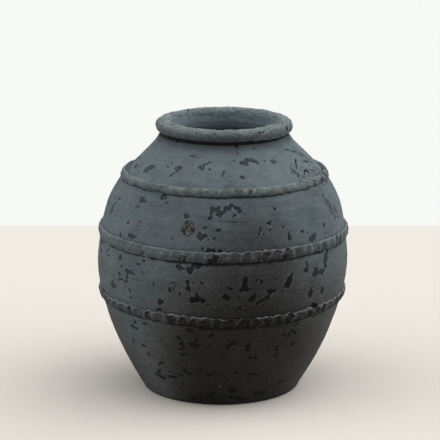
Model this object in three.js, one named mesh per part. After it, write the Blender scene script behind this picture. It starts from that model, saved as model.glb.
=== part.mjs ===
// Round-bellied black clay jar with three pinched bands and a rolled lip.
//
// The jar is built up the way a large coiled jar is: a floor slab, three tall
// courses of wall and a short shoulder course, a neck collar and a lip coil,
// with a pinched clay band pressed over each joint between courses.
// Units are millimetres, +Z is up, and the jar stands on the plane z = 0.

import * as THREE from 'three';

// ---- Driving dimensions -------------------------------------------------

const wallThickness = 8;
const slipFilm = 0.3;             // film of slip left in every luted joint
const jointLap = 4;               // how far a joint slopes down through the wall
const courseSteps = 60;           // flats round the jar on everything but the bands

const footRadius = 79;
const footRounding = 2.5;
const floorThickness = 11;

const bellyRadius = 126.2;
const bellyHeight = 121;

const shoulderRadius = 103;       // where the round belly breaks into the straight shoulder
const shoulderHeight = 219.5;

const neckRadius = 65;
const neckRootRadius = 73;        // where the straight shoulder starts to turn up into the neck
const neckRootHeight = 249.5;
const neckHeight = 263.8;         // outer edge of the neck's top

const lipHalfWidth = 7.8;         // the lip coil's section is an ellipse that droops outwards
const lipHalfHeight = 6.2;
const lipDroop = THREE.MathUtils.degToRad(28);
const lipRadius = 60.9;           // from the jar's axis to the middle of the section
const lipHeight = 269.6;
const lipSeatStart = THREE.MathUtils.degToRad(-25);    // where the seat cuts the section's outside
const lipSeatSlope = THREE.MathUtils.degToRad(10);     // the seat rises inwards

const bandProud = 3;              // how far a band stands out of the wall
const bandSeatDepth = 1;          // how far it is pressed in
const ridgeDrop = 0.6;            // a band's upper edge is lower at each ridge between dips

// Width is measured along the wall; pitch and depth are those of the dips left by a fingertip.
const lowerBand = { height: 99, width: 10, pitch: 12.2, depth: 1.6 };
const middleBand = { height: 164, width: 10, pitch: 11.3, depth: 1.3 };
const upperBand = { height: shoulderHeight + 1, width: 8.4, pitch: 12.2, depth: 0.4 };

// ---- Materials ----------------------------------------------------------

function blackClay(color, roughness) {
  return new THREE.MeshStandardMaterial({ color, roughness, metalness: 0 });
}

const wallClay = blackClay(0x3d4244, 0.88);
const trimClay = blackClay(0x4c5254, 0.84);

// ---- Outline of the outer wall, as (radius, height) -----------------------

function bellyCurve() {
  return new THREE.SplineCurve([
    new THREE.Vector2(footRadius, 0),
    new THREE.Vector2(98.5, 35),
    new THREE.Vector2(115.6, 77),
    new THREE.Vector2(bellyRadius, bellyHeight),
    new THREE.Vector2(124.6, 158),
    new THREE.Vector2(117, 193),
    new THREE.Vector2(shoulderRadius, shoulderHeight),
  ]);
}

function shoulderLine() {
  return new THREE.LineCurve(
    new THREE.Vector2(shoulderRadius, shoulderHeight),
    new THREE.Vector2(neckRootRadius, neckRootHeight),
  );
}

/** Turns from the shoulder's slope to upright, tangent to both. */
function neckCurve() {
  const shoulderSlope = (neckRootHeight - shoulderHeight) / (shoulderRadius - neckRootRadius);
  const turnHeight = neckRootHeight + (neckRootRadius - neckRadius) * shoulderSlope;
  return new THREE.QuadraticBezierCurve(
    new THREE.Vector2(neckRootRadius, neckRootHeight),
    new THREE.Vector2(neckRadius, turnHeight),
    new THREE.Vector2(neckRadius, neckHeight),
  );
}

const outline = new THREE.CurvePath();
outline.add(bellyCurve());
outline.add(shoulderLine());
outline.add(neckCurve());
const outlineLength = outline.getLength();

/** Point at a distance along the outline, standing `proud` of it, or inside it when negative. */
function onWall(distance, proud = 0) {
  const u = distance / outlineLength;
  const point = outline.getPoint(u);
  const along = outline.getTangent(u);
  return new THREE.Vector2(point.x + along.y * proud, point.y - along.x * proud);
}

/** Distance along the outline at which the surface offset by `proud` reaches a height. */
function distanceAt(height, proud = 0) {
  let low = 0;
  let high = outlineLength;
  for (let halving = 0; halving < 24; halving++) {
    const middle = (low + high) / 2;
    if (onWall(middle, proud).y < height) low = middle;
    else high = middle;
  }
  return (low + high) / 2;
}

/** Evenly spaced points on the offset outline, both ends included. */
function wallPoints(from, to, spans, proud) {
  const points = [];
  for (let i = 0; i <= spans; i++) points.push(onWall(from + (to - from) * i / spans, proud));
  return points;
}

// ---- Solids ---------------------------------------------------------------

/** Closed ring round the axis; sectionAt(step) is its section, anticlockwise in (radius, height). */
function ringSolid(steps, sectionAt) {
  const positions = [];
  const triangles = [];
  const corners = sectionAt(0).length;
  for (let step = 0; step < steps; step++) {
    const angle = 2 * Math.PI * step / steps;
    for (const point of sectionAt(step)) {
      positions.push(point.x * Math.cos(angle), point.x * Math.sin(angle), point.y);
    }
    const nextStep = (step + 1) % steps;
    for (let corner = 0; corner < corners; corner++) {
      const nextCorner = (corner + 1) % corners;
      const a = step * corners + corner;
      const b = nextStep * corners + corner;
      const c = nextStep * corners + nextCorner;
      const d = step * corners + nextCorner;
      triangles.push(a, b, c, a, c, d);
    }
  }
  const geometry = new THREE.BufferGeometry();
  geometry.setAttribute('position', new THREE.Float32BufferAttribute(positions, 3));
  geometry.setIndex(triangles);
  return geometry;
}

/** Round slab that the jar stands on, with a rounded foot edge. */
function floorSlab() {
  const edge = wallPoints(distanceAt(footRounding), distanceAt(floorThickness), 2, 0);
  const profile = [
    new THREE.Vector2(0, 0),
    new THREE.Vector2(footRadius - footRounding, 0),
    new THREE.Vector2(footRadius, footRounding * 0.4),
    ...edge,
    new THREE.Vector2(0, floorThickness),
  ];
  return new THREE.LatheGeometry(profile, courseSteps).rotateX(Math.PI / 2);
}

/** Floor of half a band's seat, cut into the wall's face between the seat's edge and the joint. */
function halfSeat(edge, joint) {
  return [onWall(edge, -bandSeatDepth), onWall(joint, -bandSeatDepth)];
}

/** How far the seat of a band reaches to either side of its joint. */
function seatReach(band) {
  return band.width / 2 + slipFilm;
}

/**
 * One course of wall between two joints, given as distances along the outline.
 * `bandBelow` and `bandAbove` are the bands that cover its joints, where there are any.
 */
function wallCourse({ from, to, spans, bandBelow, bandAbove }) {
  const start = from + slipFilm / 2;
  const end = to - slipFilm / 2;
  const faceStart = bandBelow ? from + seatReach(bandBelow) : start;
  const faceEnd = bandAbove ? to - seatReach(bandAbove) : end;
  const section = [
    ...(bandBelow ? halfSeat(faceStart, start).reverse() : []),
    ...wallPoints(faceStart, faceEnd, spans, 0),
    ...(bandAbove ? halfSeat(faceEnd, end) : []),
    ...wallPoints(end - jointLap, start - jointLap, spans, -wallThickness),
  ];
  return ringSolid(courseSteps, () => section);
}

/** The lowest course stands flat on the floor slab. */
function lowestCourse({ to, spans, bandAbove }) {
  const footing = floorThickness + slipFilm;
  const end = to - slipFilm / 2;
  const faceEnd = to - seatReach(bandAbove);
  const section = [
    ...wallPoints(distanceAt(footing), faceEnd, spans, 0),
    ...halfSeat(faceEnd, end),
    ...wallPoints(end - jointLap, distanceAt(footing, -wallThickness), spans, -wallThickness),
  ];
  return ringSolid(courseSteps, () => section);
}

/** Point of the lip coil's drooping elliptical section. */
function lipPoint(angle) {
  const across = lipHalfWidth * Math.cos(angle);
  const up = lipHalfHeight * Math.sin(angle);
  return new THREE.Vector2(
    lipRadius + across * Math.cos(lipDroop) + up * Math.sin(lipDroop),
    lipHeight - across * Math.sin(lipDroop) + up * Math.cos(lipDroop),
  );
}

const lipInnermost = Math.PI + Math.atan2(
  lipHalfHeight * Math.sin(lipDroop),
  lipHalfWidth * Math.cos(lipDroop),
);
const mouthRadius = lipPoint(lipInnermost).x;

/** Height of the lip's straight conical seat at a radius. */
function lipSeatHeight(radius) {
  const outer = lipPoint(lipSeatStart);
  return outer.y + (outer.x - radius) * Math.tan(lipSeatSlope);
}

/** The lip rolls over to its innermost point, and from there its inside drops straight to the seat. */
function lipCoil() {
  const spans = 11;
  const section = [];
  for (let i = 0; i <= spans; i++) {
    section.push(lipPoint(THREE.MathUtils.lerp(lipSeatStart, lipInnermost, i / spans)));
  }
  section.push(new THREE.Vector2(mouthRadius, lipSeatHeight(mouthRadius)));
  return ringSolid(courseSteps, () => section);
}

/** The neck thickens inwards until it is flush with the mouth, and its top is bevelled for the lip. */
function neckCollar(from) {
  const spans = 4;
  const start = from + slipFilm / 2;
  const section = wallPoints(start, outlineLength, spans, 0).slice(0, -1);
  for (const radius of [neckRadius, mouthRadius]) {
    section.push(new THREE.Vector2(radius, lipSeatHeight(radius) - slipFilm));
  }
  for (let i = spans - 1; i >= 0; i--) {
    const distance = THREE.MathUtils.lerp(start - jointLap, outlineLength, i / spans);
    const thickness = THREE.MathUtils.lerp(wallThickness, neckRadius - mouthRadius, i / spans);
    section.push(onWall(distance, -thickness));
  }
  return ringSolid(courseSteps, () => section);
}

/** Section of a band across the wall at `middle`; `press` is 0 on a ridge and 1 at the bottom of a dip. */
function bandSection(middle, band, press) {
  const lowerEdge = middle - band.width / 2;
  const upperEdge = middle + band.width / 2;
  const bed = slipFilm - bandSeatDepth;
  const crown = bandProud - band.depth * press;
  return [
    onWall(lowerEdge, bed),
    onWall(lowerEdge, crown * 0.5),
    onWall(middle - band.width / 4, crown),
    onWall(middle + band.width / 4, crown),
    onWall(upperEdge - ridgeDrop * (1 - press), crown * 0.5),
    onWall(upperEdge, bed),
    onWall(middle, bed),
  ];
}

/** Clay strip pressed all the way round with a fingertip, which leaves narrow ridges between the dips. */
function pinchedBand(middle, band) {
  const dips = Math.round(2 * Math.PI * onWall(middle, bandProud).x / band.pitch);
  const sections = [0, 0.8, 1, 0.8].map((press) => bandSection(middle, band, press));
  return ringSolid(sections.length * dips, (step) => sections[step % sections.length]);
}

// ---- The jar ----------------------------------------------------------------

const lowerJoint = distanceAt(lowerBand.height);
const middleJoint = distanceAt(middleBand.height);
const upperJoint = distanceAt(upperBand.height);
const neckJoint = distanceAt(neckRootHeight);

const jar = new THREE.Group();

function add(name, geometry, material) {
  const mesh = new THREE.Mesh(geometry, material.clone());
  mesh.name = name;
  jar.add(mesh);
}

add('floor_slab', floorSlab(), wallClay);
add('lower_wall', lowestCourse({ to: lowerJoint, spans: 5, bandAbove: lowerBand }), wallClay);
add('lower_belly_wall', wallCourse({
  from: lowerJoint, to: middleJoint, spans: 4, bandBelow: lowerBand, bandAbove: middleBand,
}), wallClay);
add('upper_belly_wall', wallCourse({
  from: middleJoint, to: upperJoint, spans: 4, bandBelow: middleBand, bandAbove: upperBand,
}), wallClay);
add('shoulder_wall', wallCourse({
  from: upperJoint, to: neckJoint, spans: 3, bandBelow: upperBand,
}), wallClay);
add('neck_collar', neckCollar(neckJoint), wallClay);
add('rolled_lip', lipCoil(), trimClay);
add('lower_band', pinchedBand(lowerJoint, lowerBand), trimClay);
add('middle_band', pinchedBand(middleJoint, middleBand), trimClay);
add('upper_band', pinchedBand(upperJoint, upperBand), trimClay);

export default jar;
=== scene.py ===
"""Black clay jar: the looks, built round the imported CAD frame."""
import math
from collections import namedtuple
from functools import lru_cache

import bmesh
import bpy
import numpy as np
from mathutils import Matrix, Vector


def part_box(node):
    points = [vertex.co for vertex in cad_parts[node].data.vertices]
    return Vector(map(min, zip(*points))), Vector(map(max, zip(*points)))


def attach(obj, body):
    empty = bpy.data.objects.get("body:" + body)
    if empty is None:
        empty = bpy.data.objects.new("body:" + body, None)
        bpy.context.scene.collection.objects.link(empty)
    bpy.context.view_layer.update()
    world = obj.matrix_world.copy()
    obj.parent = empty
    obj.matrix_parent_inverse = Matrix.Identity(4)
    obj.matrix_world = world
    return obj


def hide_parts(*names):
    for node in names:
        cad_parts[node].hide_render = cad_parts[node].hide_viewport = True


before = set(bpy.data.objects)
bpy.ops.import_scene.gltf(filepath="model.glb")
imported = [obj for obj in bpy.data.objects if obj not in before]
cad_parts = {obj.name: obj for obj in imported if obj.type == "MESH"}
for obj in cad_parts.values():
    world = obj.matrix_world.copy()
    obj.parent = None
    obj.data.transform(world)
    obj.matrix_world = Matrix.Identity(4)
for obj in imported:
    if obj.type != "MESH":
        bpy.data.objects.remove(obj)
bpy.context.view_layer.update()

# ---- The jar's shape, in millimetres ---------------------------------------
# The outline and the wall are the CAD's. Bearings go round the jar: 0 faces the camera,
# and they grow to the right. Marks give them in degrees.

MM = 0.001
BELLY_STATIONS = [(79, 0), (98.5, 35), (115.6, 77), (126.2, 121), (124.6, 158), (117, 193), (103, 219.5)]
SHOULDER_BREAK = (103, 219.5)
NECK_ROOT = (73, 249.5)
NECK_TOP = (65, 263.8)
NECK_TUCK = 2.5                    # how far the neck runs on up inside the lip
WALL = 8
JOINT_LAP = 4
FLOOR_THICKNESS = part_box("floor_slab")[1].z / MM
FOOT_ROUNDING = 2.5
SWAY = [(0, 0), (100, 1.2), (165, 2.6), (235, 3.8), (276, 2.7)]    # height, shift to the right

COLUMNS = 720                      # steps round the jar
ROW_STEP = 1.1                     # mm between rows on the outside
INSIDE_ROW_STEP = 2.5

BAND_PROUD = 3
# Each band also gives the width of the painted shadow line under it, shade painted on the wall rather than
# cut into the strip.
Band = namedtuple("Band", "node width squareness undercut dips rise sag sag_at seed")
LOWER_BAND = Band(
    "lower_band", width=10.4, squareness=0.85, undercut=2.4, dips=64,
    rise=1.2, sag=3.0, sag_at=15, seed=41)
MIDDLE_BAND = Band(
    "middle_band", width=10.4, squareness=0.85, undercut=2.5, dips=71,
    rise=-0.3, sag=1.1, sag_at=-5, seed=51)
UPPER_BAND = Band(
    "upper_band", width=8, squareness=0.6, undercut=1.3, dips=54,
    rise=0.7, sag=0.4, sag_at=-30, seed=61)

LIP_MIDDLE = (60.9, 269.6)
LIP_HALF_WIDTH = 7.8
LIP_HALF_HEIGHT = 6.2
LIP_DROOP = math.radians(24)
LIP_INNERMOST = 203                # where round the section, in degrees, the inside turns straight down
MOUTH = 53.4

# What the materials' fields hold where nothing is the matter.
PLAIN = {"flake": 20.0, "scab": 20.0, "painted_shade_and_dark_marks": 0.0, "bare_and_front_shade": 0.0, "inside": 0.0, "curvature": 0.0, "tilt": 0.0}

# Places where the slip has flaked off: bearing, height, length, width (mm) and lean (degrees).
FLAKES = [
    # shoulder
    (-57, 234, 17, 7, 40), (-32, 239, 8, 7, 0), (-34, 235, 11, 2, 45), (-16, 241, 7, 8, 0),
    (-13, 245, 9, 3, 45), (-1, 237, 10, 3, 62), (14, 244, 10, 5, -25), (18, 247, 8, 5, 0),
    (23, 246, 9, 6, -20), (38, 244, 6, 5, 0), (11, 234, 6, 4, -25), (-26, 251, 4, 2, 15),
    (-22, 249, 3, 2, 0), (-42, 239, 3, 2, 0), (-39, 242, 3, 2, 0), (-23, 241, 3, 2, 0),
    (8, 248, 3, 3, 0), (31, 246, 4, 2, 0), (26, 257, 4, 3, 0), (62, 249, 13, 2, -35),
    (70, 246, 10, 2, -30), (75, 241, 9, 2, -40), (68, 229, 10, 2, -60), (71, 221, 8, 2, 50),
    (77, 221, 7, 3, -50),
    # between the upper and the middle band
    (-71, 192, 17, 4, 65), (-74, 202, 6, 3, -40), (-67, 202, 7, 3, 30), (-46, 208, 12, 5, -10),
    (-49, 202, 7, 2, 55), (-34, 214, 8, 5, 0), (-52, 185, 5, 4, 0), (-56, 172, 5, 4, 0),
    (-47, 174, 13, 4, 10), (-44, 190, 4, 3, 0), (-10.5, 183, 11, 8, 0), (-9, 191, 4, 3, 0),
    (-3, 188, 5, 4, 0), (-4.5, 181, 3, 2, 0), (-7, 181, 2, 2, 0), (-5, 207, 10, 7, 0),
    (-6.5, 201, 8, 3, 55), (-1.5, 204, 9, 6, 10), (2, 209, 12, 5, 35), (6.5, 207, 11, 4.5, -40),
    (5, 201, 5, 2, 35), (5, 196, 28, 1.2, -3), (16.5, 187, 8, 1.6, 80), (18.5, 184, 3, 2, -40),
    (22, 194, 6, 4, 20), (26, 205, 4, 3, 0), (28.5, 188, 4, 3, 0), (31.5, 179, 11, 5, 85),
    (39.5, 182, 5, 4, 0), (43, 181, 3, 2, 0), (45.5, 173, 12, 6, 10), (55, 182, 5, 4, 0),
    (63, 199, 24, 3.5, -78), (66, 193, 24, 3.5, -74), (70, 188, 14, 4, -80),
    # on the middle band and beside it
    (-9.5, 171.5, 5, 4, 0), (-5.5, 170.5, 10, 4.5, -3), (-1.5, 169, 4, 3, 0),
    (-16.5, 161.5, 7, 3.5, 70), (-4.5, 161, 12, 5, 35), (28, 161.5, 6, 6, 0), (46, 159, 10, 4, 0),
    (-39, 162, 6, 3, 80), (-38, 153, 5, 4, 0), (-19.5, 151, 9, 8, 0), (-14.5, 151, 12, 7, 45),
    (-10.5, 155, 9, 7, 20),
    # between the middle and the lower band
    (-66, 153, 9, 2.4, 75), (-68, 149, 7, 2, -60), (-64, 147, 5, 2.2, 0), (-54, 150, 7, 4, -30),
    (-52, 142, 6, 4, 0), (-46, 140, 13, 4.5, 5), (-47.5, 134, 11, 2.5, 80), (-48.5, 129, 5, 2, 20),
    (-53, 135, 6, 3, 0), (-52, 129, 7, 4, 0), (-58, 120, 12, 8, 0), (-46, 120, 8, 2, -70),
    (-46, 113, 4, 3, 0), (-41, 149, 6, 3, 10), (-31.5, 133, 3, 3, 0), (-28.5, 115, 8, 7.5, 0),
    (-30, 106.5, 5, 3, 0), (-22, 137, 6, 1.6, 10), (-22, 133, 7, 1.6, 60), (-24, 129, 5, 1.6, 100),
    (-15.7, 138, 6, 3, -80), (-15, 131, 8, 6, -30), (-12.5, 139, 2.5, 2.5, 0), (-9, 138, 4, 3.5, 0),
    (-19.5, 126, 3, 3, 0), (-11, 121, 17, 6.5, 0), (-11.3, 126, 7, 4, 90), (-6.5, 117, 5, 3, 0),
    (-2.5, 116, 3, 2, 0), (1.5, 124.5, 10, 6, 0), (3, 133, 4.5, 4.5, 0), (7, 124.5, 4.5, 3, 90),
    (7.5, 114, 5, 3, 70), (10.5, 109, 6, 3, -45), (9.5, 139, 13, 6.5, 88), (9.5, 132.5, 12, 5, 5),
    (15, 138.5, 2.5, 2, 0), (17, 138, 3, 3, 0), (15.5, 141, 2, 2, 0), (13.3, 124, 10, 6, 75),
    (12.8, 121, 7, 5, 0), (17, 118.5, 9, 3, 8), (19.8, 123, 8, 4, 65), (21.5, 128, 11, 6, 8),
    (24.5, 140.5, 3.5, 3, 0), (30.5, 137.5, 16, 8, 60), (39.7, 147, 11, 7, 65), (46, 138, 12, 5, 5),
    (46.5, 143, 5, 3, 0), (53.5, 150, 18, 7, 75), (50.5, 139, 12, 6, 40), (43, 121, 13, 4, 85),
    (43.5, 124.5, 6, 3, 0), (50.5, 121, 8, 6, 90), (47, 105.5, 9, 6, 0),
    # under the lip
    (11, 260, 5, 5, 0), (10, 255, 5, 2, 80), (-33, 262, 9, 3, 0), (-44, 261, 6, 3, 0),
    (-62, 263, 8, 3, -70),
    # below the lower band
    (-47, 80, 13, 6, 0), (-40, 88, 9, 5, 0), (-46, 87, 4, 3, 0), (-52, 64, 9, 3.5, 65),
    (-44, 62, 7, 4, 0), (-31, 73, 3, 2.5, 0), (-42, 52, 5, 3, 0), (-39.5, 52, 3, 2, 0),
    (-36, 45, 7, 3, 60), (-33.5, 46, 5, 1.5, 40), (-39.5, 28, 13, 5, -25), (-37.5, 35, 9, 3, 55),
    (-53, 33, 7, 2, 20), (-30, 31, 13, 4.5, 5), (-26, 35.5, 13, 3, -10), (-30.5, 37, 4, 2.5, 0),
    (-19, 38, 10, 4, -10), (-20, 42, 7, 3, 80), (-11.5, 46.5, 5, 3, -20), (-11.5, 27, 4, 2, 60),
    (-24, 23, 6, 4, -20), (-18, 7, 7, 3, 0), (-7, 10, 9, 5, 0), (-5, 15, 6, 4, 0),
    (-5.5, 39, 14, 4.5, 25), (-15, 88.5, 9, 7, 20), (-8, 91, 8, 3, 0), (-5.2, 84.5, 8, 6.5, 30),
    (-12, 77.5, 8, 5, 0), (-13, 71.5, 12, 5, 15), (-6, 71, 5, 2, 30), (-20.5, 77, 9, 4.5, -50),
    (-19.5, 71, 9, 5, -60), (-20.5, 66, 7, 3, 0), (-19.5, 59.5, 9, 3.5, 0), (4.5, 72.5, 12, 5, 50),
    (12.5, 69, 10, 7, -70), (16, 57, 14, 5, -8), (16, 51, 4, 3, 0), (1.5, 28.5, 4, 2.5, 20),
    (4.2, 32.5, 4, 3, 0), (9, 40, 6, 5, 0), (17.5, 38, 9, 5, 0), (21, 35, 8, 4, -30),
    (8.5, 19, 10, 8, -40), (11, 9, 14, 4, -15), (27.5, 12, 15, 5, 5), (41, 21, 10, 5, 50),
    (29, 64, 9, 5, 60), (29.5, 57, 9, 3, 85), (31.5, 79, 8, 4, -15), (36, 82, 14, 3.5, 60),
    (37, 80, 10, 4, -55), (38, 88, 10, 4, 20), (37.5, 67, 8, 5, -60),
]
# Scabs where the coarse body of the clay shows.
SCABS = [(-17, 190.5, 17, 13, 90), (-18.2, 200.5, 6, 5, 0), (-18.5, 161.5, 5, 4, 70), (-1.5, 162, 7, 4, 60)]


def spline_points(stations, per_span=24):
    """Points on the uniform Catmull-Rom spline through the stations, which is the CAD's curve."""
    p = np.array(stations, float)
    p = np.vstack([p[:1], p, p[-1:]])
    t = np.linspace(0, 1, per_span, endpoint=False)[:, None]
    spans = []
    for a, b, c, d in zip(p, p[1:], p[2:], p[3:]):
        start, end = (c - a) / 2, (d - b) / 2
        cubic = (2 * b - 2 * c + start + end) * t**3
        square = (3 * c - 3 * b - 2 * start - end) * t**2
        spans.append(cubic + square + start * t + b)
    return np.vstack(spans)


def neck_points(count=24):
    """The neck's turn from the shoulder's slope to upright, as a quadratic Bezier curve."""
    slope = (NECK_ROOT[1] - SHOULDER_BREAK[1]) / (SHOULDER_BREAK[0] - NECK_ROOT[0])
    root, top = np.array(NECK_ROOT, float), np.array(NECK_TOP, float)
    turn = np.array([top[0], root[1] + (root[0] - top[0]) * slope])
    t = np.linspace(0, 1, count)[:, None]
    return (1 - t) ** 2 * root + 2 * t * (1 - t) * turn + t**2 * top


class Outline:
    """The wall's outer outline, read by distance along it from the foot."""

    def __init__(self):
        shoulder = np.linspace(SHOULDER_BREAK, NECK_ROOT, 24, endpoint=False)
        points = np.vstack([spline_points(BELLY_STATIONS), shoulder, neck_points()])
        steps = np.hypot(*np.diff(points, axis=0).T)
        self.distance = np.concatenate([[0], np.cumsum(steps)])
        self.length = self.distance[-1]
        self.points = points
        tangent = np.gradient(points, self.distance, axis=0)
        smooth = np.ones(5) / 5
        tangent = np.stack([np.convolve(np.pad(k, 2, "edge"), smooth, "valid") for k in tangent.T], 1)
        self.tangent = tangent / np.linalg.norm(tangent, axis=1, keepdims=True)

    def at(self, s, proud=0.0):
        """Radius and height at distance s, standing proud of the outline. Runs on straight past its ends."""
        past = s - np.clip(s, 0, self.length)
        radius, height = (np.interp(s, self.distance, k) for k in self.points.T)
        along_r, along_z = (np.interp(s, self.distance, k) for k in self.tangent.T)
        return radius + along_r * past + along_z * proud, height + along_z * past - along_r * proud

    def reach(self, height, proud=0.0):
        """Distance at which the surface that stands proud by that much reaches a height."""
        s = np.linspace(-10, self.length, 4000)
        return float(np.interp(height, self.at(s, proud)[1], s))


outline = Outline()
bearings = np.radians(np.arange(COLUMNS) * 360 / COLUMNS - 180)


@lru_cache
def band_joint(band):
    """Distance along the outline of a band's middle, from its CAD solid. The band covers a joint there."""
    low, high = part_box(band.node)
    return outline.reach((low.z + high.z) / 2 / MM)


def value_noise(points, cell, seed):
    """Smooth noise from -1 to 1 at points (mm), with features of about one cell (mm)."""
    table = np.random.default_rng(seed).uniform(-1, 1, (32, 32, 32))
    q = np.asarray(points) / cell
    corner = np.floor(q).astype(int)
    t = q - corner
    t = t * t * (3 - 2 * t)
    total = 0
    for dx in (0, 1):
        for dy in (0, 1):
            for dz in (0, 1):
                weight = (
                    (t[..., 0] if dx else 1 - t[..., 0])
                    * (t[..., 1] if dy else 1 - t[..., 1])
                    * (t[..., 2] if dz else 1 - t[..., 2])
                )
                i, j, k = (corner[..., axis] + step & 31 for axis, step in enumerate((dx, dy, dz)))
                total = total + weight * table[i, j, k]
    return total


def smoothstep(low, high, x):
    t = np.clip((x - low) / (high - low), 0, 1)
    return t * t * (3 - 2 * t)


def xyz(bearing, radius, height):
    """Points in mm from bearing (radians), radius and height; the jar sways a little to the right."""
    sway = np.interp(height, *zip(*SWAY))
    return np.stack(np.broadcast_arrays(
        radius * np.sin(bearing) + sway, -radius * np.cos(bearing), height), -1)


# ---- Relief of the wall -------------------------------------------------------

def scattered_flakes():
    """Flakes over the sides and the back, and a sprinkle of small ones all round."""
    rng = np.random.default_rng(11)
    flakes = []
    for _ in range(170):
        bearing = rng.uniform(72, 288)
        length = rng.gamma(2.6, 3.2) + 3
        width = min(length, rng.uniform(2.5, 7.5))
        flakes.append((bearing, rng.uniform(8, 255), length, width, rng.normal(50, 45)))
    for _ in range(150):
        size = rng.uniform(1.2, 2.6)
        flakes.append((rng.uniform(-180, 180), rng.uniform(6, 256), size, size * 0.8, rng.uniform(0, 180)))
    return flakes


def mark_distance(mark, bearing, s, radius):
    """Distance in mm to a mark's edge, negative inside, for the points near it, and which those are."""
    degrees, height, length, width, lean = mark
    middle = outline.reach(height)
    across = (np.degrees(bearing) - degrees + 180) % 360 - 180
    across = np.radians(across) * radius
    up = s - middle
    near = (np.abs(across) < length + 12) & (np.abs(up) < length + 12)
    c, n = math.cos(math.radians(lean)), math.sin(math.radians(lean))
    along = across[near] * c + up[near] * n
    aside = up[near] * c - across[near] * n
    half = max(length - width, 0) / 2
    taper = 1 - 0.35 * smoothstep(-half - 0.1, half + 0.1, along)
    return np.hypot(np.maximum(np.abs(along) - half, 0), aside) - width / 2 * taper, near


def flake_distance(bearing, s, points, radius):
    """Distance in mm to the nearest flake's edge, negative inside it."""
    bent_bearing = bearing + (1.7 * value_noise(points, 7, 12) + 1.1 * value_noise(points, 3, 13)) / radius
    bent_s = s + 1.5 * value_noise(points, 7, 14) + value_noise(points, 3, 15)
    ragged = 1.0 * value_noise(points, 5.0, 1) + 1.1 * value_noise(points, 2.3, 2)
    distance = np.full(s.shape, 20.0)
    for mark in FLAKES + scattered_flakes():
        edge, near = mark_distance(mark, bent_bearing, bent_s, radius)
        distance[near] = np.minimum(distance[near], edge + ragged[near] * min(1, mark[3] / 5))
    return distance


def band_middle(band, bearing):
    """Distance along the outline of the middle of a hand-laid band, which wanders and sags a little."""
    off = (np.degrees(bearing) - band.sag_at) / 38
    ring = np.stack([np.sin(bearing), np.cos(bearing), 0 * bearing], -1)
    wander = 0.5 * value_noise(ring, 0.45, band.seed) + 0.3 * value_noise(ring, 0.15, band.seed + 1)
    return band_joint(band) + band.rise - band.sag * np.exp(-off**2) + wander


def painted_crevice_shade(bearing, s):
    """Painted shade on the outer wall, 0 to 1, by how far into a crevice a point is: beside the bands and
    under the lip.
    """
    crevice_shade = smoothstep(outline.length - 2, outline.length, s)
    crevice_shade = crevice_shade + 0.6 * smoothstep(outline.length - 12, outline.length - 1, s)
    ring = np.stack([np.sin(bearing), np.cos(bearing), 0 * bearing], -1)
    ragged = 0.9 * value_noise(ring, 0.05, 18) + 0.5 * value_noise(ring, 0.022, 19)
    for band in (LOWER_BAND, MIDDLE_BAND, UPPER_BAND):
        off = s - band_middle(band, bearing)
        # Painted shadow under each band, widest at the front, and a faint painted shade over it.
        deep = band.undercut * (0.5 + 0.5 * np.exp(-((bearing - 0.1) / 0.5) ** 2))
        below = off + band.width / 2 + 0.4 * deep + 0.5 * ragged
        above = off - band.width / 2 - 0.2
        crevice_shade = crevice_shade + 1.6 * np.exp(-(below / (0.6 * deep * (1 + 0.3 * ragged))) ** 2)
        crevice_shade = crevice_shade + 0.12 * np.exp(-(above / 0.7) ** 2)
    return np.clip(crevice_shade, 0, 1)


def slip_loss_and_front_shade(bearing, points):
    """How much of the slip is worn off, 0 to 1: the lower body is nearly bare, and the loss is highest at the
    front centre, which paints shade on the side turned from the lights.
    """
    degrees = np.degrees(bearing)
    # The front peak is painted shade over the real worn slip; the slip kept at the sides is real and also
    # paints their side light.
    edge = 114 + 77 * np.exp(-((degrees - 11) / 29) ** 2) - 12 * np.exp(-((degrees + 62) / 28) ** 2)
    edge = edge + 14 * value_noise(points, 60, 16) + 6 * value_noise(points * [0.3, 0.3, 1], 7, 17)
    kept = 0.6 * np.exp(-((degrees + 48) / 18) ** 2) + 0.08 * np.exp(-((degrees - 55) / 18) ** 2)
    return (1 - kept) * smoothstep(-80, 80, edge - points[..., 2])


def cracks(bearing, height, points):
    """How rough and cracked the slip is, on the right of the shoulder, and how deep in a crack a point is."""
    off = (np.degrees(bearing) - 66) / 17
    up = (height - 229) / 15
    patch = smoothstep(1.5, 0.7, np.hypot(off, up) + 0.3 * value_noise(points, 12, 23))
    lines = np.abs(value_noise(points * [1, 1, 0.8], 6, 24))
    broken = smoothstep(-0.1, 0.3, value_noise(points, 5, 27))
    return patch, patch * broken * smoothstep(0.22, 0.06, lines)


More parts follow.
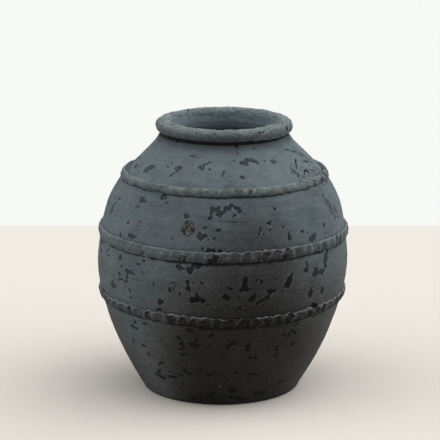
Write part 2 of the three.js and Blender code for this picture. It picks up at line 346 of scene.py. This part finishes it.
def wall_relief(bearing, s):
    """Relief of the outer wall in mm, and the fields that its material reads."""
    radius, height = outline.at(s)
    points = xyz(bearing, radius, height)
    lumps = 0.5 * value_noise(points, 62, 3) + 0.25 * value_noise(points, 24, 4)
    turned = points * [0.06, 0.06, 1]
    ridges = 0.10 * value_noise(turned, 3.2, 5) + 0.06 * value_noise(turned, 1.7, 6)
    grain = 0.05 * value_noise(points, 2.4, 7)
    flake = flake_distance(bearing, s, points, radius)
    recess = -0.5 * smoothstep(0.6, -0.6, flake)
    scab = np.full(s.shape, 20.0)
    for mark in SCABS:
        edge, near = mark_distance(mark, bearing, s, radius)
        scab[near] = np.minimum(scab[near], edge + 1.2 * value_noise(points[near], 4, 1))
    coarse = 0.9 * value_noise(points, 2.2, 8) + 0.5 * value_noise(points, 4.1, 9) - 0.2
    crust = smoothstep(0.5, -1.0, scab) * coarse
    cracked, crack = cracks(bearing, height, points)
    rough = cracked * (0.8 * value_noise(points, 5, 25) + 0.4 * value_noise(points, 2.4, 26)) - 0.8 * crack
    tucked = -1.2 * smoothstep(5, 2, outline.length - s)
    relief = lumps + ridges + grain + recess + crust + rough + tucked
    # Painted shade in the crevices and under the lip, with dark cracks.
    painted_shade_and_dark_marks = np.clip(painted_crevice_shade(bearing, s) * (1 - 0.7 * cracked) + 0.8 * crack, 0, 1)
    fields = {"flake": flake, "scab": scab, "painted_shade_and_dark_marks": painted_shade_and_dark_marks, "bare_and_front_shade": slip_loss_and_front_shade(bearing, points)}
    return relief, fields


# ---- Meshes ---------------------------------------------------------------------

def surface_fields(points, closed):
    """How far each grid point stands out of its neighbours in mm, and how far its face looks up, -1 to 1."""
    reach = 2
    ends = {"mode": "wrap"} if closed else {"mode": "reflect", "reflect_type": "odd"}
    padded = np.pad(points, ((0, 0), (reach, reach), (0, 0)), **ends)
    rows = slice(reach, -reach)
    beside = np.roll(points, reach, 0) + np.roll(points, -reach, 0)
    neighbours = (beside + padded[:, 2 * reach:] + padded[:, :-2 * reach]) / 4
    up_section = padded[:, reach + 1:-reach + 1] - padded[:, reach - 1:-reach - 1]
    normal = np.cross(np.roll(points, -1, 0) - np.roll(points, 1, 0), up_section)
    normal /= np.maximum(np.linalg.norm(normal, axis=-1, keepdims=True), 1e-9)
    curvature = ((padded[:, rows] - neighbours) * normal).sum(-1)
    return {"curvature": curvature, "tilt": normal[..., 2]}


def grid_mesh(name, points, **fields):
    """Closed mesh from a grid of points (columns round the jar, rows round its section, 3), in mm."""
    columns, rows, _ = points.shape
    index = np.arange(columns * rows).reshape(columns, rows)
    right, above = np.roll(index, -1, 0), np.roll(index, -1, 1)
    quads = np.stack([index, right, np.roll(right, -1, 1), above], -1).reshape(-1)
    count = columns * rows
    mesh = bpy.data.meshes.new(name)
    mesh.vertices.add(count)
    mesh.vertices.foreach_set("co", (points * MM).astype(np.float32).ravel())
    mesh.loops.add(count * 4)
    mesh.loops.foreach_set("vertex_index", quads.astype(np.int32))
    mesh.polygons.add(count)
    mesh.polygons.foreach_set("loop_start", np.arange(0, count * 4, 4, dtype=np.int32))
    mesh.update(calc_edges=True)
    for field, values in fields.items():
        layer = mesh.attributes.new(field, "FLOAT", "POINT")
        layer.data.foreach_set("value", np.broadcast_to(values, (columns, rows)).astype(np.float32).ravel())
    mesh.validate()
    return mesh


def add_piece(name, mesh, node, material):
    """Adds the piece that stands for a CAD node."""
    piece = bpy.data.objects.new(name, mesh)
    bpy.context.collection.objects.link(piece)
    mesh.polygons.foreach_set("use_smooth", np.ones(len(mesh.polygons), bool))
    mesh.set_sharp_from_angle(angle=math.radians(50))
    mesh.materials.append(material)
    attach(piece, "root")
    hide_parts(node)
    return piece


def spaced(start, end, step):
    return np.linspace(start, end, max(2, round(abs(end - start) / step) + 1))


def course_points(outside, inside):
    """Grid of a course of wall, from distances up its outside and back down its inside, and its fields."""
    bearing, s = np.meshgrid(bearings, outside, indexing="ij")
    relief, fields = wall_relief(bearing, s)
    outer = xyz(bearing, *outline.at(s, relief))
    bearing, s = np.meshgrid(bearings, inside, indexing="ij")
    thickness = WALL + (NECK_TOP[0] - MOUTH - WALL) * smoothstep(outline.length - 18, outline.length, s)
    flat = xyz(bearing, *outline.at(s, -thickness))
    throwing = 0.35 * value_noise(flat * [0.03, 0.03, 1], 9, 21) + 0.25 * value_noise(flat, 30, 22)
    inner = xyz(bearing, *outline.at(s, throwing - thickness))
    fields.update(surface_fields(outer, closed=False))
    fields = {name: np.hstack([values, np.full(s.shape, PLAIN[name])]) for name, values in fields.items()}
    fields["inside"] = np.broadcast_to(np.concatenate([outside * 0, inside * 0 + 1]), fields["flake"].shape)
    return np.hstack([outer, inner]), fields


def wall_course(name, start, end):
    points, fields = course_points(
        spaced(start, end, ROW_STEP), spaced(end - JOINT_LAP, start - JOINT_LAP, INSIDE_ROW_STEP))
    return grid_mesh(name, points, **fields)


def lowest_course(name, end):
    start, inside_start = outline.reach(FLOOR_THICKNESS), outline.reach(FLOOR_THICKNESS, -WALL)
    points, fields = course_points(
        spaced(start, end, ROW_STEP), spaced(end - JOINT_LAP, inside_start, INSIDE_ROW_STEP))
    return grid_mesh(name, points, **fields)


def neck_mesh(name, start):
    """The neck runs up inside the lip, so that its top is covered."""
    points, fields = course_points(
        spaced(start, outline.length + NECK_TUCK, ROW_STEP),
        spaced(outline.length, start - JOINT_LAP, INSIDE_ROW_STEP))
    return grid_mesh(name, points, **fields)


def floor_mesh(name):
    """The slab: flat underneath, rounded at the foot, with a turned spiral on top inside."""
    foot = BELLY_STATIONS[0][0]
    rounding = np.linspace(0, math.pi / 2, 7)
    under = np.linspace(0, foot - FOOT_ROUNDING, 26)
    face = spaced(outline.reach(FOOT_ROUNDING), outline.reach(FLOOR_THICKNESS), ROW_STEP)
    face_radius, face_height = outline.at(face)
    corner_radius = foot - FOOT_ROUNDING + (face_radius[0] - foot + FOOT_ROUNDING) * np.sin(rounding[1:-1])
    corner_height = FOOT_ROUNDING * (1 - np.cos(rounding[1:-1]))
    top = np.linspace(face_radius[-1], 0, 34)[1:]
    radius = np.concatenate([under, corner_radius, face_radius, top])
    height = np.concatenate([under * 0, corner_height, face_height, top * 0 + FLOOR_THICKNESS])
    bearing, radius = np.meshgrid(bearings, radius, indexing="ij")
    height = np.broadcast_to(height, radius.shape).copy()
    first = len(under) + len(corner_radius)
    on_face = slice(first, first + len(face))
    s = np.broadcast_to(face, (COLUMNS, len(face)))
    relief, face_fields = wall_relief(bearing[:, on_face], s)
    radius = radius.copy()
    radius[:, on_face] += relief * (0.3 + 0.7 * smoothstep(0, 4, s - s[:, :1]))
    on_top = slice(-len(top), None)
    turned = radius[:, on_top]
    spiral = 0.5 * np.sin(turned / 9 * 2 * math.pi + bearing[:, on_top])
    height[:, on_top] += spiral * smoothstep(0, 12, turned) * smoothstep(78, 70, turned)
    fields = {field: np.full(radius.shape, value) for field, value in PLAIN.items()}
    points = xyz(bearing, radius, height)
    face_fields.update(surface_fields(points[:, on_face], closed=False))
    fields["bare_and_front_shade"][:] = 1
    for field, values in face_fields.items():
        fields[field][:, on_face] = values
    fields["inside"][:, on_top] = 1
    mesh = grid_mesh(name, points, **fields)
    shape = bmesh.new()
    shape.from_mesh(mesh)
    bmesh.ops.remove_doubles(shape, verts=shape.verts, dist=1e-7)
    shape.to_mesh(mesh)
    shape.free()
    return mesh


def pinch_phase(count, seed):
    """Place of every column in the run of pinches, 0 to count, and how hard each pinch was pressed."""
    rng = np.random.default_rng(seed)
    widths = rng.uniform(0.78, 1.22, count)
    edges = np.concatenate([[0], np.cumsum(widths)]) / widths.sum() * 2 * math.pi - math.pi
    return np.interp(bearings, edges, np.arange(count + 1)), rng.uniform(0.55, 1.3, count)


def band_mesh(name, band, depth, seam):
    """Strip with a fingertip's dips, depth(degrees) mm deep, arched at the top. Its ends overlap at seam."""
    seed = band.seed
    phase, pressed = pinch_phase(band.dips, seed)
    turn = np.radians(np.concatenate([np.linspace(-128, 118, 34), [150, 210]]))
    bearing, turn = np.meshgrid(bearings, turn, indexing="ij")
    degrees = np.degrees(bearing)
    across = np.sign(np.sin(turn)) * np.abs(np.sin(turn)) ** band.squareness
    out = np.sign(np.cos(turn)) * np.abs(np.cos(turn)) ** band.squareness
    middle = band_middle(band, bearing)
    flat = xyz(bearing, *outline.at(middle + across * 5))

    place = phase[:, None] - 0.06 * across + 0.12 * value_noise(flat, 5, seed + 9)
    pressed = pressed[np.floor(place).astype(int) % band.dips]
    x = 2 * (place % 1) - 1
    dip = pressed * (0.5 + 0.5 * np.cos(math.pi * x))
    above = np.maximum(across - 0.1 + 0.3 * value_noise(flat, 15, seed + 6), 0)
    arch = pressed * smoothstep(0, 0.9, 1 - (x / 0.95) ** 2 - (above / 0.85) ** 2)

    uneven = 0.35 * value_noise(flat, 22, seed + 2) + 0.3 * value_noise(flat, 6, seed + 3)
    uneven = uneven + 0.22 * value_noise(flat, 2.6, seed + 4)
    past_seam = (degrees - seam - 2 * across + 180) % 360 - 180
    overlap = 0.7 * smoothstep(0, 2, past_seam) * smoothstep(30, 8, past_seam)
    overlap = overlap - 0.5 * np.exp(-(past_seam / 0.9) ** 2)
    underside = smoothstep(0.3, -1, across)
    face = smoothstep(0, 0.6, out)
    patch, crack = cracks(bearing, flat[..., 2], flat)
    widest = 0.9
    proud = widest + (BAND_PROUD - widest) * out
    proud = proud + (uneven + overlap + 0.35 - depth(degrees) * arch - underside - 1.1 * patch) * face
    bulge = (dip - 0.5) * np.minimum(depth(degrees), 1.6)
    ragged = 0.5 * value_noise(flat, 9, seed + 5) + 0.45 * value_noise(flat, 3.5, seed + 7)
    half = band.width / 2 + np.where(across > 0, 0.75, 0.35) * bulge + ragged
    s = middle + half * across
    relief, fields = wall_relief(bearing, s)
    points = xyz(bearing, *outline.at(s, np.maximum(proud, -0.9) + 0.6 * relief))

    mottle = 0.5 + 0.7 * value_noise(flat, 4, seed + 8)
    # Painted shade in the dips, over the strip's lower half and as a dark line at its lower edge, darker
    # patches where the wall is bare and darkest, and dark cracks.
    patchy_dark = 0.8 * fields["bare_and_front_shade"] ** 2 * smoothstep(0.05, 0.5, value_noise(flat, 3, seed + 10))
    painted_shade_and_dark_marks = np.clip(0.2 * depth(degrees) * arch, 0, 0.7) * face * (0.4 + mottle)
    painted_shade_and_dark_marks = painted_shade_and_dark_marks + 0.4 * underside * mottle + 0.8 * smoothstep(0.5, -0.2, out) * (across < 0)
    fields["painted_shade_and_dark_marks"] = np.clip(painted_shade_and_dark_marks + patchy_dark + 0.8 * crack, 0, 1)
    fields["inside"] = 0.0
    return grid_mesh(name, points, **dict(fields, **surface_fields(points, closed=True)))


def lip_mesh(name):
    """The thick lip coil, pitted in patches, and on the right a little thicker and wrinkled aslant."""
    over = np.linspace(-60, LIP_INNERMOST, 56)
    turn = np.radians(np.concatenate([over, np.full(7, LIP_INNERMOST), [250, 285]]))
    straight_down = np.concatenate([np.zeros(len(over)), np.linspace(1.2, 8.5, 7), [8.5, 7]])
    bearing, turn = np.meshgrid(bearings, turn, indexing="ij")
    front = np.exp(-(bearing / 0.75) ** 2)
    thicker = (1 + 0.09 * np.sin(bearing) - 0.13 * front) * np.where(turn < 0, 0.62, 1)
    flatter = np.where(np.cos(turn) > 0, 0.8, 1)
    across = LIP_HALF_WIDTH * np.sign(np.cos(turn)) * np.abs(np.cos(turn)) ** flatter
    up = LIP_HALF_HEIGHT * np.sign(np.sin(turn)) * np.abs(np.sin(turn)) ** flatter * thicker
    radius = LIP_MIDDLE[0] + across * math.cos(LIP_DROOP) + up * math.sin(LIP_DROOP)
    height = LIP_MIDDLE[1] - across * math.sin(LIP_DROOP) + up * math.cos(LIP_DROOP)
    height = height - 0.7 * np.sin(bearing) - 0.3 * front - 0.5 * np.cos(bearing) - straight_down
    flat = xyz(bearing, radius, height)
    relief = 0.45 * value_noise(flat, 26, 31) + 0.42 * value_noise(flat, 9, 32)
    relief = relief + 0.34 * value_noise(flat, 3.2, 33)
    aslant = np.stack([radius * bearing - 1.2 * LIP_HALF_WIDTH * turn, 4 * turn, 0 * turn], -1)
    wrinkled = smoothstep(0, 0.5, bearing) * smoothstep(2.2, 1.4, bearing)
    relief = relief + (0.12 + 0.5 * wrinkled) * value_noise(aslant, 4.5, 34)
    pitted = smoothstep(0.5, 0.8, value_noise(flat, 3.4, 35))
    pitted = pitted * smoothstep(-0.3, 0.3, value_noise(flat, 14, 36))
    relief = relief - 0.8 * pitted + 0.26 * value_noise(flat, 1.7, 37)
    out_r, out_z = across / LIP_HALF_WIDTH**2, up / (LIP_HALF_HEIGHT * thicker) ** 2
    norm = np.hypot(out_r, out_z)
    out_r, out_z = out_r / norm, out_z / norm
    radius = radius + relief * (out_r * math.cos(LIP_DROOP) + out_z * math.sin(LIP_DROOP))
    height = height + relief * (-out_r * math.sin(LIP_DROOP) + out_z * math.cos(LIP_DROOP))
    inside = 0.8 * smoothstep(math.radians(150), math.radians(LIP_INNERMOST), turn)
    outer_face = smoothstep(125, 45, np.degrees(turn))
    # Painted shade under the lip, in its low spots and over its outer face, deepest at the front, with dark
    # pits.
    painted_shade_and_dark_marks = smoothstep(-25, -45, np.degrees(turn)) + 0.4 * smoothstep(-0.4, -1.1, relief) + 0.85 * pitted
    painted_shade_and_dark_marks = painted_shade_and_dark_marks + (0.06 + 0.36 * front) * outer_face
    points = xyz(bearing, radius, height)
    fields = dict(PLAIN, inside=inside, painted_shade_and_dark_marks=np.clip(painted_shade_and_dark_marks, 0, 1))
    return grid_mesh(name, points, **dict(fields, **surface_fields(points, closed=True)))


# ---- Materials --------------------------------------------------------------------

class Tree:
    """Short way to write a material's nodes."""

    def __init__(self, tree):
        self.tree = tree
        tree.nodes.clear()

    def node(self, kind, inputs=None, **settings):
        node = self.tree.nodes.new(kind)
        for key, value in settings.items():
            setattr(node, key, value)
        for key, value in (inputs or {}).items():
            if isinstance(value, bpy.types.NodeSocket):
                self.tree.links.new(value, node.inputs[key])
            else:
                node.inputs[key].default_value = value
        return node

    def math(self, operation, a, b=0.0, c=0.0):
        return self.node("ShaderNodeMath", {0: a, 1: b, 2: c}, operation=operation).outputs[0]

    def field(self, name):
        return self.node("ShaderNodeAttribute", attribute_name=name).outputs["Fac"]

    def ramp(self, value, low, high):
        """0 below low, 1 above high and smooth between."""
        return self.node("ShaderNodeMapRange", {"Value": value, "From Min": low, "From Max": high},
                         interpolation_type="SMOOTHSTEP").outputs["Result"]

    def mix(self, factor, a, b, blend="MIX"):
        inputs = {"Factor": factor, "A": a, "B": b}
        node = self.node("ShaderNodeMix", inputs, data_type="RGBA", blend_type=blend)
        return node.outputs["Result"]

    def noise(self, place, scale, detail=2.0, roughness=0.5):
        return self.node("ShaderNodeTexNoise", {
            "Vector": place, "Scale": scale, "Detail": detail, "Roughness": roughness}).outputs["Fac"]

    def grey(self, value):
        return self.node("ShaderNodeCombineColor", {"Red": value, "Green": value, "Blue": value}).outputs[0]


def color(r, g, b):
    return (r, g, b, 1.0)


def clay(name, slip, highlight_dust_color, highlight_dust_amount, pit_level):
    """Matt slip over dark clay: cloudy, brushed round, dusty on top with a painted highlight there and on
    raised edges, painted shade in creases and hollows, and dark where it has flaked off.

    The lower the pit_level, the more pits.
    """
    material = bpy.data.materials.new(name)
    material.use_nodes = True
    tree = Tree(material.node_tree)
    place = tree.node("ShaderNodeTexCoord").outputs["Object"]
    millimetres = tree.node("ShaderNodeVectorMath", {0: place, "Scale": 1 / MM}, operation="SCALE").outputs[0]
    squashed = {0: millimetres, 1: (0.05, 0.05, 1)}
    turned = tree.node("ShaderNodeVectorMath", squashed, operation="MULTIPLY").outputs[0]

    cloud = tree.noise(millimetres, 0.014, 4, 0.5)
    mottle = tree.noise(millimetres, 0.07, 5, 0.6)
    brushed = tree.noise(turned, 0.55, 5, 0.65)
    grain = tree.noise(millimetres, 0.9, 4, 0.7)
    tint = tree.noise(millimetres, 0.03, 3, 0.5)
    bare_and_front_shade = tree.field("bare_and_front_shade")

    base = tree.mix(tree.ramp(tint, 0.38, 0.62), slip[0], slip[1])
    # Darker where the bare field is high: bare clay, and painted shade at the front centre.
    base = tree.mix(tree.ramp(bare_and_front_shade, 0.15, 0.65), base, color(0.116, 0.12, 0.127))
    base = tree.mix(tree.math("MULTIPLY", bare_and_front_shade, 0.93), base, color(0.0108, 0.0103, 0.0095))
    shade = tree.math("MULTIPLY_ADD", brushed, 0.35, tree.math("MULTIPLY", mottle, 0.4))
    shade = tree.math("MULTIPLY_ADD", cloud, 0.35, shade)
    shade = tree.math("MULTIPLY_ADD", tree.ramp(shade, 0.25, 0.85), 0.8, 0.6)
    speckle = tree.math("MULTIPLY_ADD", bare_and_front_shade, 2.8, 1.2)
    shade = tree.math("MULTIPLY_ADD", tree.math("SUBTRACT", grain, 0.5), speckle, shade)
    base = tree.mix(1.0, base, tree.grey(shade), "MULTIPLY")

    curvature = tree.field("curvature")
    # Lighter on upward faces and raised edges: dust, and a painted highlight of the light from above.
    settled_dust_and_top_light = tree.math("MULTIPLY", tree.ramp(tree.field("tilt"), 0.45, 0.95), tree.ramp(mottle, 0.1, 0.65))
    rubbed_edge_highlight = tree.math("MULTIPLY", tree.ramp(curvature, 0.05, 0.4), tree.ramp(grain, 0.3, 0.65))
    rubbed_edge_highlight = tree.math("MULTIPLY", rubbed_edge_highlight, tree.ramp(tree.field("tilt"), -0.5, 0.35))
    dust_and_highlight = tree.math("MINIMUM", tree.math("ADD", settled_dust_and_top_light, rubbed_edge_highlight), 1.0)
    base = tree.mix(tree.math("MULTIPLY", dust_and_highlight, highlight_dust_amount), base, highlight_dust_color)
    # Painted shade in concave spots, crevices, dips and under the lip, with dark cracks and pits.
    painted_shade_and_dark_marks = tree.math("MINIMUM", tree.math("ADD", tree.ramp(curvature, -0.05, -0.5), tree.field("painted_shade_and_dark_marks")), 1.0)
    base = tree.mix(tree.math("MULTIPLY", painted_shade_and_dark_marks, 0.93), base, color(0.006, 0.006, 0.006))

    edge = tree.math("MULTIPLY_ADD", tree.math("SUBTRACT", grain, 0.5), 2.4, tree.field("flake"))
    flaked = tree.ramp(edge, 0.45, -0.35)
    pits = tree.ramp(tree.noise(millimetres, 0.42, 3, 0.6), pit_level, pit_level + 0.06)
    flake_tone = tree.math("MINIMUM", tree.math("MULTIPLY_ADD", bare_and_front_shade, 0.55, 0.58), 0.95)
    dark = tree.math("MAXIMUM", tree.math("MULTIPLY", flaked, flake_tone), tree.math("MULTIPLY", pits, 0.5))
    base = tree.mix(dark, base, color(0.004, 0.005, 0.0055))
    scab_edge = tree.math("MULTIPLY_ADD", tree.math("SUBTRACT", grain, 0.5), 2.0, tree.field("scab"))
    ring = tree.math("MULTIPLY", tree.ramp(scab_edge, 0.9, 0.2), 0.8)
    base = tree.mix(ring, base, color(0.012, 0.012, 0.011))
    crumbs = tree.ramp(tree.noise(millimetres, 0.45, 3, 0.6), 0.49, 0.55)
    crumbs = tree.math("MULTIPLY", crumbs, tree.ramp(scab_edge, 0.0, -0.6))
    base = tree.mix(crumbs, base, color(0.13, 0.125, 0.115))
    # The inside is painted far lighter than the outside slip: painted light standing in for light falling
    # into the mouth.
    inner = tree.mix(tree.ramp(brushed, 0.3, 0.7), color(0.19, 0.24, 0.26), color(0.245, 0.3, 0.32))
    chipped = tree.ramp(tree.noise(millimetres, 0.33, 2, 0.5), 0.74, 0.77)
    base = tree.mix(tree.math("MULTIPLY", chipped, bare_and_front_shade), base, color(0.22, 0.21, 0.19))
    base = tree.mix(tree.field("inside"), base, inner)

    height = tree.math("MULTIPLY_ADD", brushed, 0.25, tree.math("MULTIPLY", grain, 0.16))
    height = tree.math("MULTIPLY_ADD", pits, -0.35, height)
    height = tree.math("MULTIPLY_ADD", flaked, -0.2, height)
    bump = tree.node("ShaderNodeBump", {"Height": height, "Strength": 0.6, "Distance": MM}).outputs["Normal"]
    rough = tree.math("MULTIPLY_ADD", mottle, 0.16, 0.68)
    rough = tree.math("MULTIPLY_ADD", bare_and_front_shade, -0.16, rough)
    rough = tree.math("MULTIPLY_ADD", flaked, -0.14, rough)
    shader = tree.node("ShaderNodeBsdfPrincipled", {
        "Base Color": base, "Roughness": rough, "Normal": bump,
        "Specular IOR Level": 0.06, "Sheen Weight": 0.03, "Sheen Roughness": 0.4}).outputs[0]
    tree.node("ShaderNodeOutputMaterial", {"Surface": shader})
    return material


wall_clay = clay(
    "slip_on_black_clay", (color(0.098, 0.124, 0.134), color(0.104, 0.124, 0.136)),
    color(0.19, 0.235, 0.245), highlight_dust_amount=0.5, pit_level=0.69)
# The trim's lighter dust colour also paints the highlight on band tops and the lip.
trim_clay = clay(
    "dusty_highlit_black_clay", (color(0.092, 0.116, 0.123), color(0.099, 0.116, 0.124)),
    color(0.25, 0.285, 0.28), highlight_dust_amount=0.65, pit_level=0.59)


# ---- The jar's pieces --------------------------------------------------------------

def lower_dips(degrees):
    return 1.9 - 0.5 * smoothstep(-35, -70, degrees)


def middle_dips(degrees):
    return 0.35 + 0.5 * smoothstep(-30, -12, degrees) + 0.6 * smoothstep(0, 30, degrees)


def upper_dips(degrees):
    return 0.35 + 0.25 * smoothstep(-40, 10, degrees)


def make_jar():
    lower, middle, upper = (band_joint(band) for band in (LOWER_BAND, MIDDLE_BAND, UPPER_BAND))
    neck = outline.reach(NECK_ROOT[1])
    walls = {
        "floor_slab": floor_mesh("floor"),
        "lower_wall": lowest_course("lower_wall_clay", lower),
        "lower_belly_wall": wall_course("lower_belly_clay", lower, middle),
        "upper_belly_wall": wall_course("upper_belly_clay", middle, upper),
        "shoulder_wall": wall_course("shoulder_clay", upper, neck),
        "neck_collar": neck_mesh("neck_clay", neck),
    }
    trims = {
        "rolled_lip": lip_mesh("lip_clay"),
        "lower_band": band_mesh("lower_band_clay", LOWER_BAND, lower_dips, 140),
        "middle_band": band_mesh("middle_band_clay", MIDDLE_BAND, middle_dips, -150),
        "upper_band": band_mesh("upper_band_clay", UPPER_BAND, upper_dips, 14),
    }
    for node, mesh in walls.items():
        add_piece(mesh.name, mesh, node, wall_clay)
    for node, mesh in trims.items():
        add_piece(mesh.name, mesh, node, trim_clay)


# ---- Stage, light and camera ----------------------------------------------------------

FOCAL = 2025 / 440                 # focal length in widths of the picture
CAMERA_DISTANCE = 2.0
CAMERA_HEIGHT = 0.6457
CAMERA_PITCH = math.radians(13.36)
TABLE_FAR_EDGE = 0.687


def make_camera():
    data = bpy.data.cameras.new("camera")
    data.sensor_width = 36
    data.lens = FOCAL * data.sensor_width
    data.clip_end = 50
    camera = bpy.data.objects.new("camera", data)
    camera.location = (-0.001, -CAMERA_DISTANCE, CAMERA_HEIGHT)
    camera.rotation_euler = (math.pi / 2 - CAMERA_PITCH, 0, 0)
    bpy.context.collection.objects.link(camera)
    bpy.context.scene.camera = camera


def make_table():
    near, half_width = -1.8, 1.8
    corners = [(-half_width, near, 0), (half_width, near, 0), (half_width, TABLE_FAR_EDGE, 0),
               (-half_width, TABLE_FAR_EDGE, 0)]
    mesh = bpy.data.meshes.new("table")
    mesh.from_pydata(corners, [], [(0, 1, 2, 3)])
    material = bpy.data.materials.new("pale_table")
    material.use_nodes = True
    shader = material.node_tree.nodes["Principled BSDF"]
    shader.inputs["Base Color"].default_value = color(0.71, 0.66, 0.6)
    shader.inputs["Roughness"].default_value = 1.0
    shader.inputs["Specular IOR Level"].default_value = 0.0
    mesh.materials.append(material)
    table = bpy.data.objects.new("table", mesh)
    bpy.context.collection.objects.link(table)


# Soft lights of the room: bearing (0 is on the camera's side) and elevation in degrees, strength.
SOFT_LIGHTS = [(90, 45, 2.3), (-90, 45, 1.15), (90, 8, 0.2), (135, 8, 1.15), (-90, 8, 1.1), (0, 80, 0.75)]


def make_sky():
    """White room lit mostly from its sides; the wall behind the jar is seen but lights nothing."""
    world = bpy.data.worlds.new("room")
    bpy.context.scene.world = world
    world.use_nodes = True
    tree = Tree(world.node_tree)
    direction = tree.node("ShaderNodeTexCoord").outputs["Generated"]
    light = 0.0
    for bearing, elevation, strength in SOFT_LIGHTS:
        b, e = math.radians(bearing), math.radians(elevation)
        towards = (math.cos(e) * math.sin(b), -math.cos(e) * math.cos(b), math.sin(e))
        dot = tree.node("ShaderNodeVectorMath", {0: direction, 1: towards}, operation="DOT_PRODUCT")
        facing = dot.outputs["Value"]
        glow = tree.math("POWER", tree.math("MAXIMUM", facing, 0.0), 4.0)
        light = tree.math("MULTIPLY_ADD", glow, strength, light)
    room = tree.node("ShaderNodeBackground", {"Color": color(0.97, 0.99, 1.0), "Strength": light}).outputs[0]
    wall = tree.node("ShaderNodeBackground", {"Color": color(0.93, 0.945, 0.915), "Strength": 1.0}).outputs[0]
    seen = tree.node("ShaderNodeLightPath").outputs["Is Camera Ray"]
    surface = tree.node("ShaderNodeMixShader", {0: seen, 1: room, 2: wall}).outputs[0]
    tree.node("ShaderNodeOutputWorld", {"Surface": surface})


make_jar()
make_table()
make_sky()
make_camera()
bpy.context.scene.view_settings.view_transform = "Standard"
